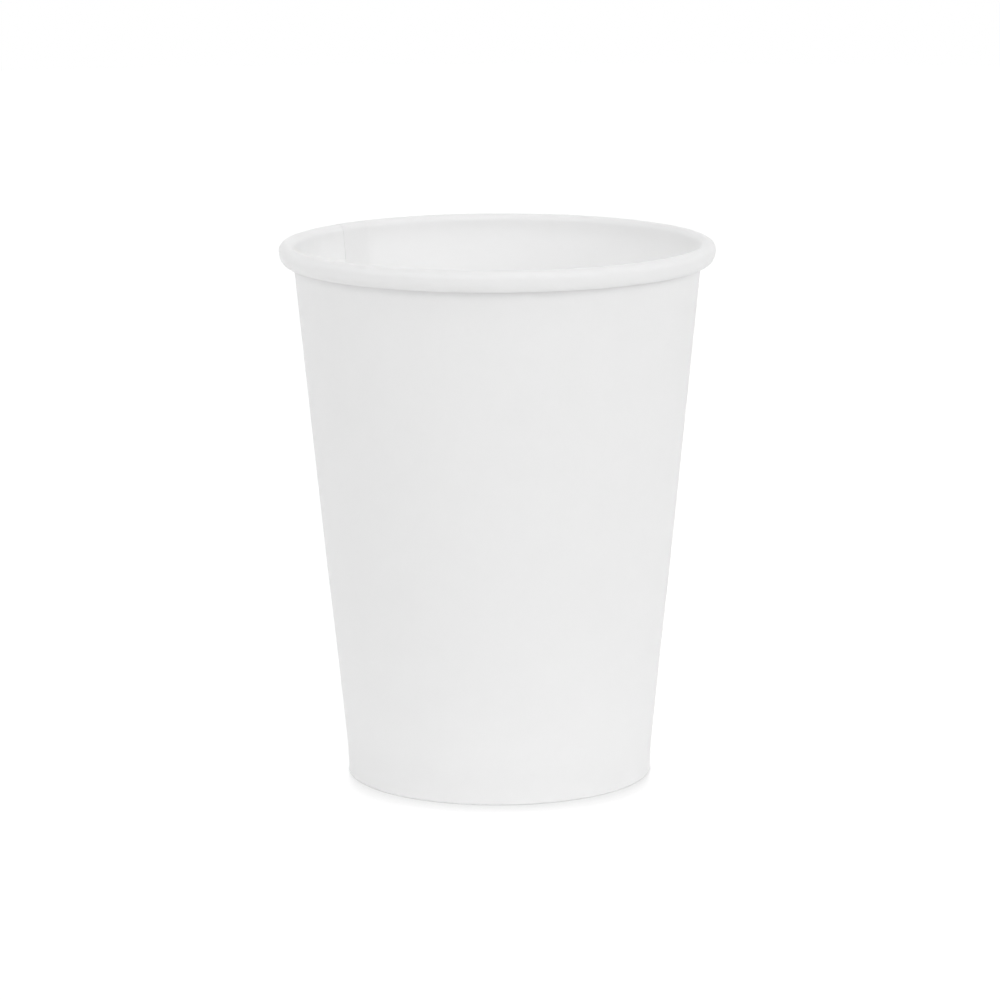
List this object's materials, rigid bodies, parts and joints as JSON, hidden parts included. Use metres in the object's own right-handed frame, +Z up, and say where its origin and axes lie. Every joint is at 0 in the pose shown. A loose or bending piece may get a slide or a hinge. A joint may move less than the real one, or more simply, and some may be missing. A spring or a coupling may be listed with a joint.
{
  "type": "paper coffee cup",
  "caption": "Tapered paper cup for a hot drink, with a rolled rim, a glued lap seam up its side and a recessed floor.",
  "frame": {"origin": "middle of the foot, on the surface that the cup stands on", "axes": "+Z up along the cup's axis, towards the mouth; the lap seam is at the back left, between -X and +Y"},
  "size_m": [0.09, 0.09, 0.1117],
  "materials": {
    "cup_board": "uncoated white cup board outside, thin sealing film inside with a soft sheen",
    "floor_board": "white cup board with a thin sealing film on its upper face"
  },
  "bodies": {
    "root": {"side_wall": "cup_board", "bottom_disc": "floor_board"}
  },
  "joints": []
}
